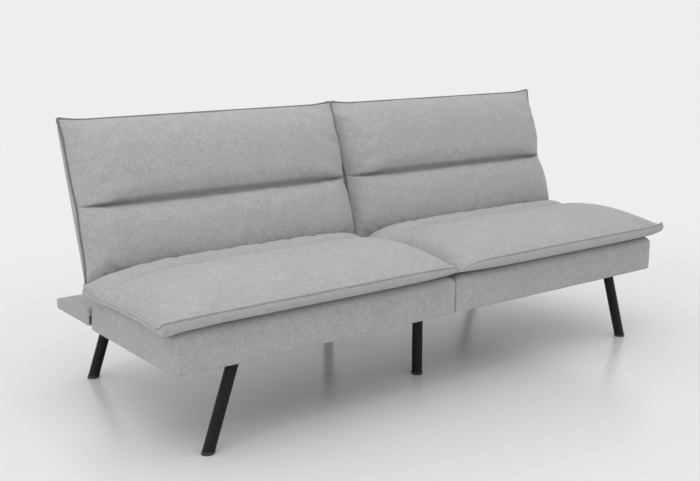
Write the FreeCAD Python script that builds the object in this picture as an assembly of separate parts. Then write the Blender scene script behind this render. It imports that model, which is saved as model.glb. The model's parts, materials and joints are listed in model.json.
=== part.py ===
import FreeCAD, Part
import math
import os

from FreeCAD import Vector

# Click clack sofa bed: two seat boxes side by side on six legs, a low ledge behind them,
# and two backs that fold down to the rear, each on a pair of hinges.
# Millimetres. X runs along the seat, +Y to the rear, +Z up.
# The origin is on the floor, in the middle of the base. Every piece of the right half is made
# here at +X, and the left half is its mirror image.

# Driving sizes of the whole
overall_depth = 786.0          # front of the seat cushions to the rear of the ledge
unit_width = 900.0             # one seat box, centre seam to outer side
seam_gap = 0.5                 # half of the gap between left and right pieces
leg_height = 228.0             # floor to the underside of the seat boxes

# Seat box and ledge
box_height = 110.0
box_depth = 502.0              # at its underside
box_rear_slant = 25.0          # the rear face leans forward by this much at the top
box_corner_radius = 24.0
box_top_radius = 22.0
box_bottom_radius = 7.0
cushion_front_overhang = 28.0  # seat cushion in front of the seat box
hinge_gap = 24.0               # open space between seat box and ledge, for the hinges
ledge_side_inset = 10.0        # outer side of the seat box to the end of the ledge
ledge_front_height = 51.0
ledge_rear_height = 32.0
ledge_rear_radius = 12.0
ledge_front_radius = 4.5
cover_wall = 3.0               # fabric with its thin wadding
cover_clearance = 0.2          # between a cover and what fills it
hem_width = 76.0               # cover turned in under the seat box
dust_cover_overlap = 10.0
dust_cover_thickness = 1.2

# Steel and timber of the base
rail_width = 30.0
rail_height = 20.0
tube_wall = 1.5
plate_thickness = 4.0          # plates on top of the legs
deck_thickness = 9.0
outer_rail_inset = 14.0        # outer side of the seat box to the outer rail
inner_rail_inset = 8.0         # centre seam to the inner rail
front_tube_inset = 23.0        # front of the seat box to the front tube
rear_tube_inset = 22.0         # underside's rear edge to the tube under the deck
ledge_tube_inset = 7.0         # rear of the ledge to its rear tube
ledge_board_end_gap = 4.0

# Legs
leg_diameter = 32.0
leg_wall = 1.5
leg_foot_inset = 102.0         # outer side of the seat box to the middle of a foot
leg_lean = 19.3                # degrees, foot outwards
centre_leg_front_inset = 168.0 # front of the seat box to the front centre leg
centre_leg_rear_inset = 132.0  # rear of the ledge to the rear centre leg
leg_hole_clearance = 1.0
corner_plate_length = 76.0
corner_plate_width = 34.0
centre_plate_length = 84.0
centre_plate_width = 56.0
foot_cap_height = 8.0
foot_cap_rim = 0.8             # cap wider than the leg, each side
foot_plug_length = 20.0
foot_plug_clearance = 0.1
screw_diameter = 5.0
screw_head_diameter = 10.0
screw_length = 14.0
screw_hole_clearance = 0.1
screw_edge = 10.0              # screw centre to the end of a plate
connector_diameter = 8.0
connector_head_diameter = 14.0
connector_head_thickness = 4.0
connector_front_inset = 110.0  # front of the seat box to the first connector bolt
connector_spacing = 240.0

# Backs, worked out as they lie flat: u from the hinge pin to the rear, v up
back_lean = 17.7               # degrees from upright, at rest
pivot_behind_box = 10.0        # underside's rear edge to the hinge pin
pivot_rise = 60.0              # underside of the seat box to the hinge pin
back_side_overhang = 5.0       # back's side beyond the seat box
back_bottom_u = 40.0
back_top_u = 505.0
back_rear_v = 30.0
back_thickness = 30.0
back_corner_radius = 14.0
back_edge_radius = 9.0
back_tube_size = 20.0
back_board_thickness = 3.8
back_fill_gap = 6.0            # ends of the tubes and board to the back's cover
board_side_gap = 5.0

# Hinges
hinge_plate = 3.0
hinge_play = 0.4               # between the fixed and the moving plate
pin_diameter = 8.0
pin_clearance = 0.05
pin_head_diameter = 14.0
pin_head_thickness = 1.6
pin_head_play = 0.2
hub_radius = 12.0
neck_width = 21.0
tooth_radius = 15.0
notch_depth = 3.4
notch_width = 3.6
click_positions = 3
arm_bar_width = 12.0
arm_strip_length = 105.0
arm_strip_width = 14.0
latch_length = 33.0
latch_height = 6.0
latch_play = 0.1
latch_lift = 0.6               # latch clear of the teeth when it is drawn back
latch_engaged_gap = 0.4        # latch tip to the root of a notch
latch_tip_width = 3.0
latch_tip_length = 4.5
latch_knob = 4.0
guide_start = 24.0             # hinge pin to the near end of the latch guide
guide_length = 16.0
guide_lip = 2.0
slot_play = 0.4                # arm to the slot in the back's cover

# Seat cushion, heights above the seat box
seat_rear_band = 105.0         # sewn channel to the rear of the cushion
seat_rear_inset = 52.0         # rear of the cushion in front of the underside's rear edge
seat_corner_reach = 12.0       # rear corners stand this much behind the middle
seat_side_overhang = 30.0
seat_welt_height = 38.0
seat_front_crown = 102.0
seat_channel_height = 73.0
seat_rear_crown = 84.0
seat_rear_crown_inset = 48.0   # rear of the cushion to the crown of its rear band
seat_shoulder_inset = 24.0     # rear of the cushion to the shoulder above its rear edge
seat_shoulder_height = 74.0
seat_rear_edge_height = 36.0
seat_end_height = 22.0         # thickness left at the two ends
seat_nose_undercut = 33.0      # underside starts this far behind the front
seat_rear_undercut = 14.0
seat_under_bulge = 3.5         # curve under the rear edge outside its chord
seat_tail_bulge = 3.0          # shoulder's curve outside its chord

# Fullness of a cushion from end to end, as (share of the width, fullness)
seat_fullness = [(0.0, 0.06), (0.04, 0.38), (0.12, 0.70), (0.27, 0.93), (0.5, 1.0),
                 (0.73, 0.93), (0.88, 0.70), (0.96, 0.38), (1.0, 0.06)]
back_fullness = [(0.0, 0.06), (0.03, 0.44), (0.08, 0.82), (0.20, 0.97), (0.5, 1.0),
                 (0.80, 0.97), (0.92, 0.82), (0.97, 0.44), (1.0, 0.06)]

# Back cushion, heights above the front of the back
back_cushion_overhang = 8.0    # cushion's side beyond the back
back_cushion_bottom_u = 42.0
back_cushion_top_u = 507.0
back_corner_rise = 7.0         # corners stand above the middle of the top edge
back_tuft_u = 264.0
back_tuft_height = 22.0
back_lower_crown = 70.0
back_upper_crown = 68.0
back_edge_height = 3.0

# Curves of the back cushion's two bands, as (share of the band, share of its crown)
back_lower_curve = [(0.12, 0.38), (0.30, 0.86), (0.52, 1.0), (0.78, 0.92), (0.93, 0.68)]
back_upper_curve = [(0.08, 0.70), (0.24, 0.93), (0.42, 1.0), (0.76, 0.84), (0.93, 0.50)]

# Allowances of the modelling itself
cutter_spare = 1.0             # cutters reach this far past what they cut
same_place = 0.01              # places closer than this count as one

# Places worked out from the sizes above
ledge_half_width = unit_width - ledge_side_inset
leg_foot_x = unit_width - leg_foot_inset
back_half_width = unit_width + back_side_overhang
back_cushion_half_width = back_half_width + back_cushion_overhang
box_front_y = -overall_depth / 2 + cushion_front_overhang
box_rear_y = box_front_y + box_depth
box_top_z = leg_height + box_height
ledge_front_y = box_rear_y + hinge_gap
ledge_rear_y = overall_depth / 2
plate_z = leg_height + cover_wall
rail_z = plate_z + plate_thickness
deck_z = rail_z + rail_height
foam_z = deck_z + deck_thickness
outer_rail_x = unit_width - outer_rail_inset - rail_width
inner_rail_x = inner_rail_inset
front_tube_y = box_front_y + front_tube_inset
rear_tube_y = box_rear_y - rear_tube_inset - rail_width
ledge_tube_y = ledge_rear_y - ledge_tube_inset - rail_width
front_leg_y = front_tube_y + rail_width / 2
rear_leg_y = ledge_tube_y + rail_width / 2
centre_leg_front_y = box_front_y + centre_leg_front_inset
centre_leg_rear_y = ledge_rear_y - centre_leg_rear_inset
connector_ys = [box_front_y + connector_front_inset,
                box_front_y + connector_front_inset + connector_spacing]
pivot = Vector(0, box_rear_y + pivot_behind_box, leg_height + pivot_rise)
seat_depth = cushion_front_overhang + box_depth - seat_rear_inset
seat_front_band = seat_depth - seat_rear_band
recline_angle = 90.0 - back_lean
back_front_v = back_rear_v + back_thickness
back_tube_v = back_rear_v + cover_wall
back_board_v = back_tube_v + back_tube_size
root_radius = tooth_radius - notch_depth
latch_travel = latch_lift + notch_depth - latch_engaged_gap

arm_strip_u = back_bottom_u + cover_wall + back_fill_gap
arm_strip_v = back_tube_v + (back_tube_size - arm_strip_width) / 2

# Hinge plates beside the rails: the fixed plate touches the rail, the moving plate runs beside it
outer_plate_x = outer_rail_x - hinge_plate
inner_plate_x = inner_rail_x + rail_width
outer_arm_x = outer_plate_x - hinge_play - hinge_plate
inner_arm_x = inner_plate_x + hinge_plate + hinge_play
outer_back_tube_x = outer_arm_x + hinge_plate
inner_back_tube_x = inner_arm_x - back_tube_size

x_axis = Vector(1, 0, 0)
y_axis = Vector(0, 1, 0)
z_axis = Vector(0, 0, 1)


def block(x0, x1, y0, y1, z0, z1):
    """A plain box between two corners."""
    return Part.makeBox(x1 - x0, y1 - y0, z1 - z0, Vector(x0, y0, z0))


def prism(points, x0, x1):
    """A side profile of (y, z) points drawn out along X."""
    corners = [Vector(x0, y, z) for y, z in points]
    wire = Part.makePolygon(corners + corners[:1])
    return Part.Face(wire).extrude(Vector(x1 - x0, 0, 0))


def fillet_where(shape, radius, wanted):
    """Round the edges for which wanted(edge) is true."""
    edges = [edge for edge in shape.Edges if wanted(edge)]
    return shape.makeFillet(radius, edges)


def runs_along(edge, axis):
    """True where a straight edge runs mostly along an axis."""
    ends = edge.Vertexes
    if len(ends) < 2:
        return False
    way = ends[1].Point.sub(ends[0].Point)
    return abs(way.dot(axis)) > 0.9 * way.Length > 0.0


def lies_at(edge, axis, place):
    """True where a whole edge lies in the plane at a place along an axis."""
    box = edge.BoundBox
    low = Vector(box.XMin, box.YMin, box.ZMin).dot(axis)
    high = Vector(box.XMax, box.YMax, box.ZMax).dot(axis)
    return abs(low - place) < same_place and abs(high - place) < same_place


def square_tube_along_x(x0, x1, y0, z0):
    """Rectangular steel tube along X."""
    outer = block(x0, x1, y0, y0 + rail_width, z0, z0 + rail_height)
    bore = block(x0, x1, y0 + tube_wall, y0 + rail_width - tube_wall,
                 z0 + tube_wall, z0 + rail_height - tube_wall)
    return outer.cut(bore)


def square_tube_along_y(x0, y0, y1, z0):
    """Rectangular steel tube along Y."""
    outer = block(x0, x0 + rail_width, y0, y1, z0, z0 + rail_height)
    bore = block(x0 + tube_wall, x0 + rail_width - tube_wall, y0, y1,
                 z0 + tube_wall, z0 + rail_height - tube_wall)
    return outer.cut(bore)


def leg_foot(name):
    """Place of a leg's foot on the floor."""
    feet = {
        "front": Vector(leg_foot_x, front_leg_y, 0),
        "rear": Vector(leg_foot_x, rear_leg_y, 0),
        "centre_front": Vector(0, centre_leg_front_y, 0),
        "centre_rear": Vector(0, centre_leg_rear_y, 0),
    }
    return feet[name]


def leg_axis(name):
    """Direction of a leg from its foot to its plate."""
    if name.startswith("centre"):
        return z_axis
    lean = math.radians(leg_lean)
    return Vector(-math.sin(lean), 0, math.cos(lean))


def leg_rod(name, radius, z0, z1):
    """Round rod on a leg's axis, cut off level at two heights."""
    foot = leg_foot(name)
    axis = leg_axis(name)
    spare = 2 * leg_diameter
    rod = Part.makeCylinder(radius, z1 / axis.z + 2 * spare, foot.sub(axis * spare), axis)
    reach = leg_foot_x + unit_width
    slab = block(-reach, reach, foot.y - spare, foot.y + spare, z0, z1)
    return rod.common(slab)


def leg_top_x(name):
    """Where a leg's axis meets its plate."""
    axis = leg_axis(name)
    return leg_foot(name).x + axis.x / axis.z * plate_z


def leg_plate_size(name):
    """Length and width of the plate on a leg."""
    if name.startswith("centre"):
        return centre_plate_length, centre_plate_width
    return corner_plate_length, corner_plate_width


def leg_plate(name, grow=0.0):
    """Plate on top of a leg, or the room it needs when grown."""
    length, width = leg_plate_size(name)
    x = leg_top_x(name)
    y = leg_foot(name).y
    return block(x - length / 2 - grow, x + length / 2 + grow,
                 y - width / 2 - grow, y + width / 2 + grow, plate_z, rail_z)


def screw_places(name):
    """Screw centres in a leg's plate."""
    length, width = leg_plate_size(name)
    x = leg_top_x(name)
    y = leg_foot(name).y
    along = length / 2 - screw_edge
    if name.startswith("centre"):
        across = width / 2 - screw_edge
        return [(x + i * along, y + j * across) for i in (-1, 1) for j in (-1, 1)]
    return [(x - along, y), (x + along, y)]


def screw(x, y, grow=0.0):
    """Countersunk screw, head flush with the plate's underside."""
    head_depth = (screw_head_diameter - screw_diameter) / 2
    head = Part.makeCone(screw_head_diameter / 2 + grow, screw_diameter / 2 + grow,
                         head_depth, Vector(x, y, plate_z))
    shank = Part.makeCylinder(screw_diameter / 2 + grow, screw_length + grow, Vector(x, y, plate_z))
    return head.fuse(shank).removeSplitter()


def screw_holes(names):
    """Room for the screws of some legs."""
    cutters = [screw(x, y, screw_hole_clearance) for name in names for x, y in screw_places(name)]
    return Part.makeCompound(cutters)


def leg(name):
    """Steel leg: a round tube welded to its plate."""
    outer = leg_rod(name, leg_diameter / 2, foot_cap_height, plate_z)
    bore = leg_rod(name, leg_diameter / 2 - leg_wall, foot_cap_height, plate_z)
    body = outer.cut(bore).fuse(leg_plate(name)).removeSplitter()
    return body.cut(screw_holes([name]))


def foot_cap(name):
    """Plastic cap under a leg, with a plug in the tube."""
    rim = leg_rod(name, leg_diameter / 2 + foot_cap_rim, 0, foot_cap_height)
    plug_radius = leg_diameter / 2 - leg_wall - foot_plug_clearance
    plug = leg_rod(name, plug_radius, foot_cap_height, foot_cap_height + foot_plug_length)
    return rim.fuse(plug).removeSplitter()


def connector(y, grow=0.0):
    """Bolt that joins the two inner rails, with its head and nut."""
    reach = inner_rail_x + rail_width
    z = rail_z + rail_height / 2
    start = Vector(-reach - connector_head_thickness, y, z)
    length = 2 * (reach + connector_head_thickness)
    shank = Part.makeCylinder(connector_diameter / 2 + grow, length, start, x_axis)
    if grow:
        return shank
    heads = [Part.makeCylinder(connector_head_diameter / 2, connector_head_thickness, place, x_axis)
             for place in (start, Vector(reach, y, z))]
    return shank.fuse(heads).removeSplitter()


def connector_holes():
    """Room for the connector bolts."""
    return Part.makeCompound([connector(y, screw_hole_clearance) for y in connector_ys])


def outer_rail():
    """Outer rail, from the front tube through the hinge gap to the ledge's rear tube."""
    return square_tube_along_y(outer_rail_x, front_tube_y + rail_width, ledge_tube_y, rail_z)


def inner_rail():
    """Inner rail, drilled for the centre legs and the connector bolts."""
    rail = square_tube_along_y(inner_rail_x, front_tube_y + rail_width, ledge_tube_y, rail_z)
    return rail.cut(screw_holes(["centre_front", "centre_rear"])).cut(connector_holes())


def front_tube():
    """Tube along the front, over the front leg."""
    tube = square_tube_along_x(inner_rail_x, outer_rail_x + rail_width, front_tube_y, rail_z)
    return tube.cut(screw_holes(["front"]))


def ledge_tube():
    """Tube along the rear of the ledge, over the rear leg."""
    tube = square_tube_along_x(inner_rail_x, outer_rail_x + rail_width, ledge_tube_y, rail_z)
    return tube.cut(screw_holes(["rear"]))


def deck_tube():
    """Tube under the rear of the deck, between the rails."""
    return square_tube_along_x(inner_rail_x + rail_width, outer_rail_x, rear_tube_y, rail_z)


def seat_box_form(inset):
    """Outer form of a seat box, or the same form set in all round."""
    front = box_front_y + inset
    rear = box_rear_y - inset
    bottom = leg_height + inset
    top = box_top_z - inset
    profile = [(front, bottom), (rear, bottom), (rear - box_rear_slant, top), (front, top)]
    form = prism(profile, seam_gap + inset, unit_width - inset)
    form = fillet_where(form, box_corner_radius - inset, lambda edge: runs_along(edge, z_axis))
    form = fillet_where(form, box_top_radius - inset, lambda edge: lies_at(edge, z_axis, top))
    return fillet_where(form, box_bottom_radius - inset, lambda edge: lies_at(edge, z_axis, bottom))


def between(form, z0, z1):
    """The part of a form between two heights."""
    box = form.BoundBox
    return form.common(block(box.XMin - cutter_spare, box.XMax + cutter_spare,
                             box.YMin - cutter_spare, box.YMax + cutter_spare, z0, z1))


def leg_room(names):
    """Holes that let the legs and their plates through the covers."""
    room = []
    for name in names:
        room.append(leg_rod(name, leg_diameter / 2 + leg_hole_clearance,
                            leg_height - leg_hole_clearance, rail_z))
        room.append(leg_plate(name, leg_hole_clearance))
    return Part.makeCompound(room)


def rail_room():
    """Slots where the rails and fixed hinge plates pass through the covers in the hinge gap."""
    play = leg_hole_clearance
    y0 = box_rear_y - cover_wall - box_rear_slant
    y1 = ledge_front_y + cover_wall + play
    slots = [block(x - play, x + rail_width + play, y0, y1, rail_z - play, deck_z + play)
             for x in (inner_rail_x, outer_rail_x)]
    return Part.makeCompound(slots)


def seat_box_cover():
    """Padded fabric shell of a seat box, turned in underneath."""
    shell = seat_box_form(0.0).cut(seat_box_form(cover_wall))
    opening = block(seam_gap + hem_width, unit_width - hem_width,
                    box_front_y + hem_width, box_rear_y - hem_width,
                    leg_height - cover_wall, plate_z + cover_wall)
    shell = shell.cut(opening).cut(leg_room(["front", "centre_front"]))
    return shell.cut(rail_room()).cut(connector_holes())


def dust_cover():
    """Thin cloth that closes the underside, lying on the hem."""
    reach = hem_width - dust_cover_overlap
    return block(seam_gap + reach, unit_width - reach, box_front_y + reach, box_rear_y - reach,
                 plate_z, plate_z + dust_cover_thickness)


def seat_deck():
    """Plywood deck on the tubes."""
    return between(seat_box_form(cover_wall + cover_clearance), deck_z, foam_z)


def seat_foam():
    """Foam block on the deck."""
    return between(seat_box_form(cover_wall + cover_clearance), foam_z, box_top_z)


def ledge_form(inset):
    """Outer form of the ledge, or the same form set in all round."""
    front = ledge_front_y + inset
    rear = ledge_rear_y - inset
    bottom = leg_height + inset
    front_top = leg_height + ledge_front_height - inset
    rear_top = leg_height + ledge_rear_height - inset
    profile = [(front, bottom), (rear, bottom), (rear, rear_top), (front, front_top)]
    form = prism(profile, seam_gap + inset, ledge_half_width - inset)
    form = fillet_where(form, ledge_rear_radius - inset,
                        lambda edge: lies_at(edge, y_axis, rear) and runs_along(edge, x_axis))
    return fillet_where(form, ledge_front_radius - inset,
                        lambda edge: lies_at(edge, y_axis, front) and runs_along(edge, x_axis))


def ledge_cover():
    """Fabric shell of the ledge."""
    shell = ledge_form(0.0).cut(ledge_form(cover_wall))
    return shell.cut(leg_room(["rear", "centre_rear"])).cut(rail_room())


def ledge_board():
    """Tapered board on the rails that gives the ledge its sloping top."""
    filling = ledge_form(cover_wall + cover_clearance)
    room = block(seam_gap + cover_wall + cover_clearance, ledge_half_width,
                 ledge_front_y, ledge_tube_y - ledge_board_end_gap,
                 deck_z, leg_height + ledge_front_height)
    return filling.common(room)


def arc(a, b, c):
    """Arc through three points."""
    return Part.Arc(a, b, c).toShape()


def seat_section(x, fullness):
    """Side profile of the seat cushion at x: flat underside, two crowned bands and a channel."""
    front = -overall_depth / 2
    rear = front + seat_depth + seat_corner_reach * (1 - fullness)
    channel = front + seat_front_band

    def point(y, height):
        """A point whose height shrinks towards the ends of the cushion."""
        low = min(height, seat_end_height)
        return Vector(x, y, box_top_z + low + (height - low) * fullness)

    under_front = Vector(x, front + seat_nose_undercut, box_top_z)
    under_rear = Vector(x, rear - seat_rear_undercut, box_top_z)
    nose_y, nose_height = nose_middle()
    nose = point(front + nose_y, nose_height)
    welt = point(front, seat_welt_height)
    front_top = point(front + seat_front_band / 2, seat_front_crown)
    valley = point(channel, seat_channel_height)
    rear_top = point(rear - seat_rear_crown_inset, seat_rear_crown)
    shoulder = point(rear - seat_shoulder_inset, seat_shoulder_height)
    shoulder_low = point(rear - seat_shoulder_inset / 2 + seat_tail_bulge,
                         (seat_shoulder_height + seat_rear_edge_height) / 2 + seat_tail_bulge)
    rear_edge = point(rear, seat_rear_edge_height)
    rear_low = point(rear - seat_rear_undercut / 2 + seat_under_bulge, seat_rear_edge_height / 2)
    edges = [
        Part.LineSegment(under_front, under_rear).toShape(),
        arc(under_rear, rear_low, rear_edge),
        arc(rear_edge, shoulder_low, shoulder),
        arc(shoulder, rear_top, valley),
        arc(valley, front_top, welt),
        arc(welt, nose, under_front),
    ]
    return Part.Wire(edges)


def nose_middle():
    """Middle of the curve under the welt, which leaves the welt straight down."""
    radius = (seat_nose_undercut ** 2 + seat_welt_height ** 2) / (2 * seat_nose_undercut)
    half_turn = math.asin(seat_welt_height / radius) / 2
    return (radius * (1 - math.cos(half_turn)),
            seat_welt_height - radius * math.sin(half_turn))


def seat_cushion():
    """Pillow on a seat box: full in the middle, thin at both ends."""
    width = unit_width + seat_side_overhang - seam_gap
    sections = [seat_section(seam_gap + share * width, fullness)
                for share, fullness in seat_fullness]
    return Part.makeLoft(sections, True, False)


def raise_back(shape):
    """Turn a piece of the back from lying flat to its rest position."""
    shape.rotate(pivot, x_axis, recline_angle)
    return shape


def flat_block(x0, x1, u0, u1, v0, v1):
    """A box on the back while it lies flat."""
    return block(x0, x1, pivot.y + u0, pivot.y + u1, pivot.z + v0, pivot.z + v1)


def back_form(inset):
    """Outer form of the back's panel, or the same form set in all round."""
    form = flat_block(seam_gap + inset, back_half_width - inset, back_bottom_u + inset,
                      back_top_u - inset, back_rear_v + inset, back_front_v - inset)
    rear = pivot.z + back_rear_v + inset
    form = fillet_where(form, back_corner_radius - inset, lambda edge: runs_along(edge, z_axis))
    return fillet_where(form, back_edge_radius - inset, lambda edge: lies_at(edge, z_axis, rear))


def back_cover():
    """Fabric shell of the back's panel, slotted for the hinge arms."""
    shell = back_form(0.0).cut(back_form(cover_wall))
    for x in (inner_arm_x, outer_arm_x):
        shell = shell.cut(arm_bar(x, slot_play))
    return raise_back(shell)


def back_tube(x):
    """Square upright of the back at x."""
    u0 = back_bottom_u + cover_wall + back_fill_gap
    u1 = back_top_u - cover_wall - back_fill_gap
    outer = flat_block(x, x + back_tube_size, u0, u1, back_tube_v, back_board_v)
    bore = flat_block(x + tube_wall, x + back_tube_size - tube_wall, u0, u1,
                      back_tube_v + tube_wall, back_board_v - tube_wall)
    return raise_back(outer.cut(bore))


def back_board():
    """Plywood board on the front of the uprights."""
    margin = cover_wall + back_fill_gap
    board = flat_block(seam_gap + cover_wall + board_side_gap,
                       back_half_width - cover_wall - board_side_gap,
                       back_bottom_u + margin, back_top_u - margin,
                       back_board_v, back_board_v + back_board_thickness)
    return raise_back(board)


def back_section(x, fullness, rise):
    """Side profile of the back cushion at x: two crowned bands and a sewn channel."""

    def point(u, height):
        """A point whose height shrinks towards the ends of the cushion."""
        low = min(height, back_edge_height)
        return Vector(x, pivot.y + u, pivot.z + back_front_v + low + (height - low) * fullness)

    def band(curve, start_u, end_u, crown):
        """The points of one band's curve."""
        return [point(start_u + share * (end_u - start_u), height * crown) for share, height in curve]

    top_u = back_cushion_top_u + rise
    bottom = point(back_cushion_bottom_u, 0.0)
    tuft = point(back_tuft_u, back_tuft_height)
    top = point(top_u, 0.0)
    lower = band(back_lower_curve, back_cushion_bottom_u, back_tuft_u, back_lower_crown)
    upper = band(back_upper_curve, back_tuft_u, top_u, back_upper_crown)
    outline = [bottom] + lower + [tuft] + upper + [top]
    edges = [Part.LineSegment(top, bottom).toShape()]
    for start in range(0, len(outline) - 1, 2):
        edges.append(arc(*outline[start:start + 3]))
    return Part.Wire(edges)


def back_cushion():
    """Cushion on the front of a back: full in the middle, thin at both ends."""
    width = back_cushion_half_width - seam_gap
    sections = []
    for share, fullness in back_fullness:
        rise = back_corner_rise * (2 * share - 1) ** 4
        sections.append(back_section(seam_gap + share * width, fullness, rise))
    return raise_back(Part.makeLoft(sections, True, False))


def disc(radius, x0, x1, y, z):
    """Disc in the hinge's plane."""
    return Part.makeCylinder(radius, x1 - x0, Vector(x0, y, z), x_axis)


def pin_hole(x0, x1):
    """Hole for the hinge pin."""
    return disc(pin_diameter / 2 + pin_clearance, x0 - cutter_spare, x1 + cutter_spare,
                pivot.y, pivot.z)


def hinge_base(plate_x, arm_x):
    """Fixed hinge plate: a neck on the rail, a hub, and a wing with the latch guide."""
    x1 = plate_x + hinge_plate
    neck = block(plate_x, x1, pivot.y - neck_width / 2, pivot.y + neck_width / 2, rail_z, pivot.z)
    hub = disc(hub_radius, plate_x, x1, pivot.y, pivot.z)
    lip_z = latch_height / 2 + latch_play
    guide_end = guide_start + guide_length
    wing = block(plate_x, x1, pivot.y, pivot.y + guide_end,
                 pivot.z - lip_z - guide_lip, pivot.z + lip_z + guide_lip)
    base = neck.fuse([hub, wing])
    low = min(plate_x, arm_x)
    high = max(x1, arm_x + hinge_plate)
    for z in (pivot.z - lip_z - guide_lip, pivot.z + lip_z):
        lip = block(low, high, pivot.y + guide_start, pivot.y + guide_end, z, z + guide_lip)
        base = base.fuse(lip)
    return base.cut(pin_hole(plate_x, x1)).removeSplitter()


def notched_sector(arm_x):
    """Part of the moving hub with one notch for every position of the back."""
    x1 = arm_x + hinge_plate
    low = pivot.z - notch_width
    front = pivot.y - root_radius / 2
    room = block(arm_x, x1, front, pivot.y + tooth_radius, low, pivot.z + tooth_radius)
    sector = disc(tooth_radius, arm_x, x1, pivot.y, pivot.z).common(room)
    for click in range(click_positions):
        notch = block(arm_x, x1, pivot.y + root_radius, pivot.y + tooth_radius + notch_depth,
                      pivot.z - notch_width / 2, pivot.z + notch_width / 2)
        notch.rotate(pivot, x_axis, recline_angle * click / (click_positions - 1))
        sector = sector.cut(notch)
    return sector


def arm_bar(arm_x, grow=0.0):
    """Sloping bar from the hinge pin to the strip, or the room it needs when grown."""
    middle = Vector(0, arm_strip_u + arm_strip_width / 2, arm_strip_v + arm_strip_width / 2)
    along = Vector(middle)
    along.normalize()
    side = Vector(0, -along.z, along.y) * (arm_bar_width / 2 + grow)
    corners = [side, side * -1, middle.sub(side), middle.add(side)]
    return prism([(pivot.y + corner.y, pivot.z + corner.z) for corner in corners],
                 arm_x - grow, arm_x + hinge_plate + grow)


def hinge_arm(arm_x):
    """Moving hinge plate: notched hub, a bar, and a strip welded to the back's upright."""
    x1 = arm_x + hinge_plate
    hub = disc(root_radius, arm_x, x1, pivot.y, pivot.z)
    strip = flat_block(arm_x, x1, arm_strip_u, arm_strip_u + arm_strip_length,
                       arm_strip_v, arm_strip_v + arm_strip_width)
    moving = raise_back(arm_bar(arm_x).fuse(strip))
    arm = hub.fuse([notched_sector(arm_x), moving])
    return arm.cut(pin_hole(arm_x, x1)).removeSplitter()


def pivot_pin(plate_x, arm_x):
    """Rivet through both plates of a hinge."""
    low = min(plate_x, arm_x)
    high = max(plate_x, arm_x) + hinge_plate
    low_play = pin_head_play if arm_x < plate_x else 0.0
    high_play = pin_head_play if arm_x > plate_x else 0.0
    start = low - low_play - pin_head_thickness
    end = high + high_play + pin_head_thickness
    shank = disc(pin_diameter / 2, start, end, pivot.y, pivot.z)
    heads = [disc(pin_head_diameter / 2, start, start + pin_head_thickness, pivot.y, pivot.z),
             disc(pin_head_diameter / 2, end - pin_head_thickness, end, pivot.y, pivot.z)]
    return shank.fuse(heads).removeSplitter()


def latch(arm_x):
    """Sliding latch in the outer hinge, drawn back clear of the teeth."""
    x0 = arm_x + latch_play
    x1 = arm_x + hinge_plate - latch_play
    tip = tooth_radius + latch_lift
    neck = tip + latch_tip_length
    end = tip + latch_length
    knob_height = latch_height + 2 * (latch_play + guide_lip)

    def step(start, stop, height):
        """One length of the latch, centred on the pin's height."""
        return block(x0, x1, pivot.y + start, pivot.y + stop,
                     pivot.z - height / 2, pivot.z + height / 2)

    steps = [step(neck, end, latch_height), step(end - latch_knob, end, knob_height)]
    return step(tip, neck, latch_tip_width).fuse(steps).removeSplitter()


def mirrored(shape):
    """The left-hand copy of a right-hand piece."""
    return shape.mirror(Vector(0, 0, 0), x_axis)


def save(name, shape):
    """Write one sub-part."""
    shape.exportStep(os.path.join("parts", name + ".step"))


def right_half():
    """Every piece of the right half, by the name that it shares with its left copy."""
    return {
        "front_leg": leg("front"),
        "rear_leg": leg("rear"),
        "foot_cap_front": foot_cap("front"),
        "foot_cap_rear": foot_cap("rear"),
        "outer_rail": outer_rail(),
        "inner_rail": inner_rail(),
        "front_tube": front_tube(),
        "deck_tube": deck_tube(),
        "ledge_tube": ledge_tube(),
        "seat_deck": seat_deck(),
        "seat_foam": seat_foam(),
        "seat_box_cover": seat_box_cover(),
        "dust_cover": dust_cover(),
        "ledge_board": ledge_board(),
        "ledge_cover": ledge_cover(),
        "seat_cushion": seat_cushion(),
        "back_cover": back_cover(),
        "back_board": back_board(),
        "back_tube_outer": back_tube(outer_back_tube_x),
        "back_tube_inner": back_tube(inner_back_tube_x),
        "back_cushion": back_cushion(),
        "hinge_base_outer": hinge_base(outer_plate_x, outer_arm_x),
        "hinge_base_inner": hinge_base(inner_plate_x, inner_arm_x),
        "hinge_arm_outer": hinge_arm(outer_arm_x),
        "hinge_arm_inner": hinge_arm(inner_arm_x),
        "latch": latch(outer_arm_x),
    }


def middle_pieces():
    """Pieces on the centre line, and the groups of identical fasteners."""
    corner_screws = [screw(x, y) for name in ("front", "rear") for x, y in screw_places(name)]
    centre_screws = [screw(x, y) for name in ("centre_front", "centre_rear")
                     for x, y in screw_places(name)]
    pins = [pivot_pin(outer_plate_x, outer_arm_x), pivot_pin(inner_plate_x, inner_arm_x)]
    return {
        "centre_leg_front": leg("centre_front"),
        "centre_leg_rear": leg("centre_rear"),
        "foot_cap_centre_front": foot_cap("centre_front"),
        "foot_cap_centre_rear": foot_cap("centre_rear"),
        "leg_screws": Part.makeCompound(
            corner_screws + [mirrored(piece) for piece in corner_screws] + centre_screws),
        "connector_bolts": Part.makeCompound([connector(y) for y in connector_ys]),
        "pivot_pins": Part.makeCompound(pins + [mirrored(piece) for piece in pins]),
    }


os.makedirs("parts", exist_ok=True)
for piece_name, piece in right_half().items():
    save(piece_name + "_right", piece)
    save(piece_name + "_left", mirrored(piece))
for piece_name, piece in middle_pieces().items():
    save(piece_name, piece)
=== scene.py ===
import json
import math

import bmesh
import bpy
from bpy.props import FloatProperty, FloatVectorProperty, IntProperty, PointerProperty
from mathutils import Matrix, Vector, noise


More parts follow.
